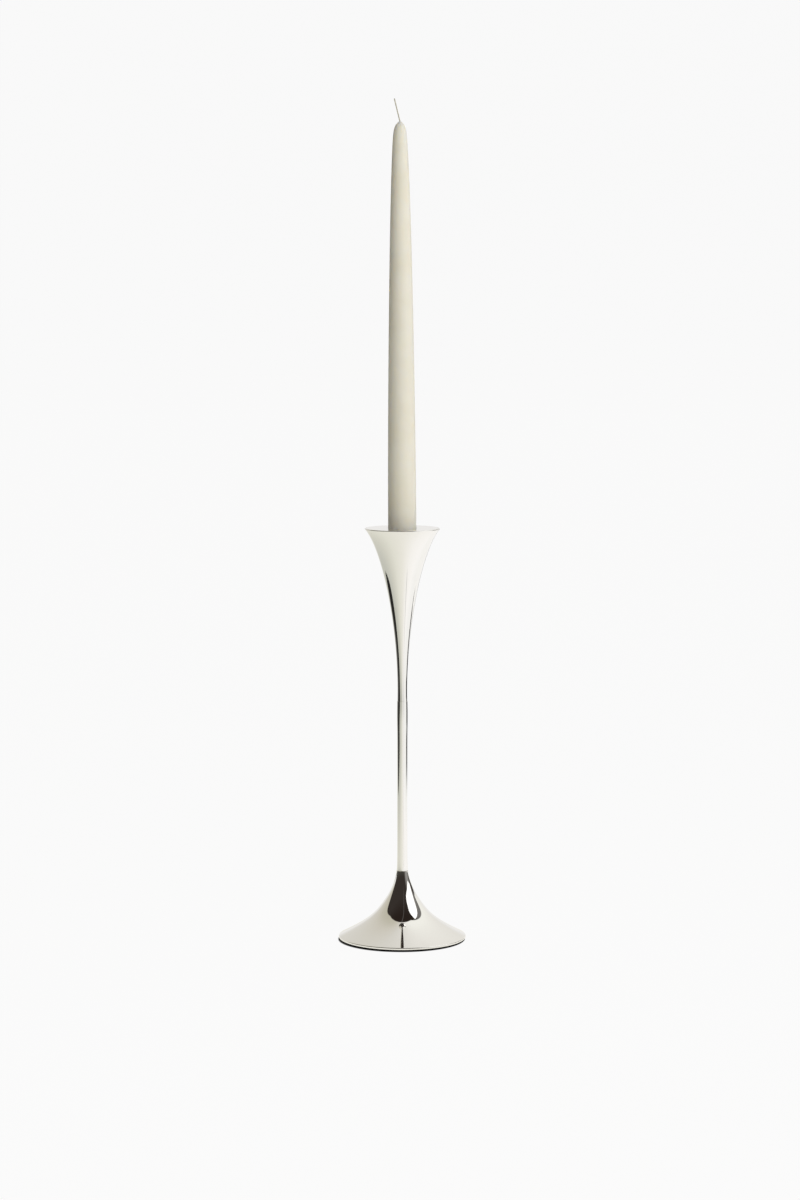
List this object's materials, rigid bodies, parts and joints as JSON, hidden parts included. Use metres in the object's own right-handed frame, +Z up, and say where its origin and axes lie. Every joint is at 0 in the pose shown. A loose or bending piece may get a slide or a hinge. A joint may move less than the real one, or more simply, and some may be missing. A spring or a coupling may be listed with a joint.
{
  "type": "candlestick with taper candle",
  "caption": "Slim trumpet-shaped candlestick in polished silver plate, with a weighted round foot, a straight stem and a flared flat-topped cup that holds a taper candle.",
  "frame": {"origin": "centre of the felt pad's underside, where the candlestick stands", "axes": "+Z up the stem, +X to the right and -Y towards the viewer as seen from the front; the candle leans a little towards -X"},
  "size_m": [0.1, 0.1, 0.6564],
  "materials": {
    "silver": "polished",
    "wax": "satin",
    "cotton": "matte",
    "hardware": "satin",
    "ballast": "matte",
    "felt": "matte"
  },
  "bodies": {
    "stand": {"felt_pad": "felt", "base_plate": "hardware", "foot_shell": "silver", "ballast_weight": "ballast", "flat_washer": "hardware", "spring_washer": "hardware", "hex_nut": "hardware", "tie_rod": "hardware", "stem_tube": "silver", "cup_shell": "silver", "cup_top_plate": "silver", "candle_socket": "silver"},
    "loose_candle": {"candle": "wax", "wick": "cotton"}
  },
  "joints": [
    {"name": "candle_lift", "type": "slide", "parent": "stand", "child": "loose_candle", "axis": [0, 0, 1], "range_m": [0, 0.04]}
  ]
}
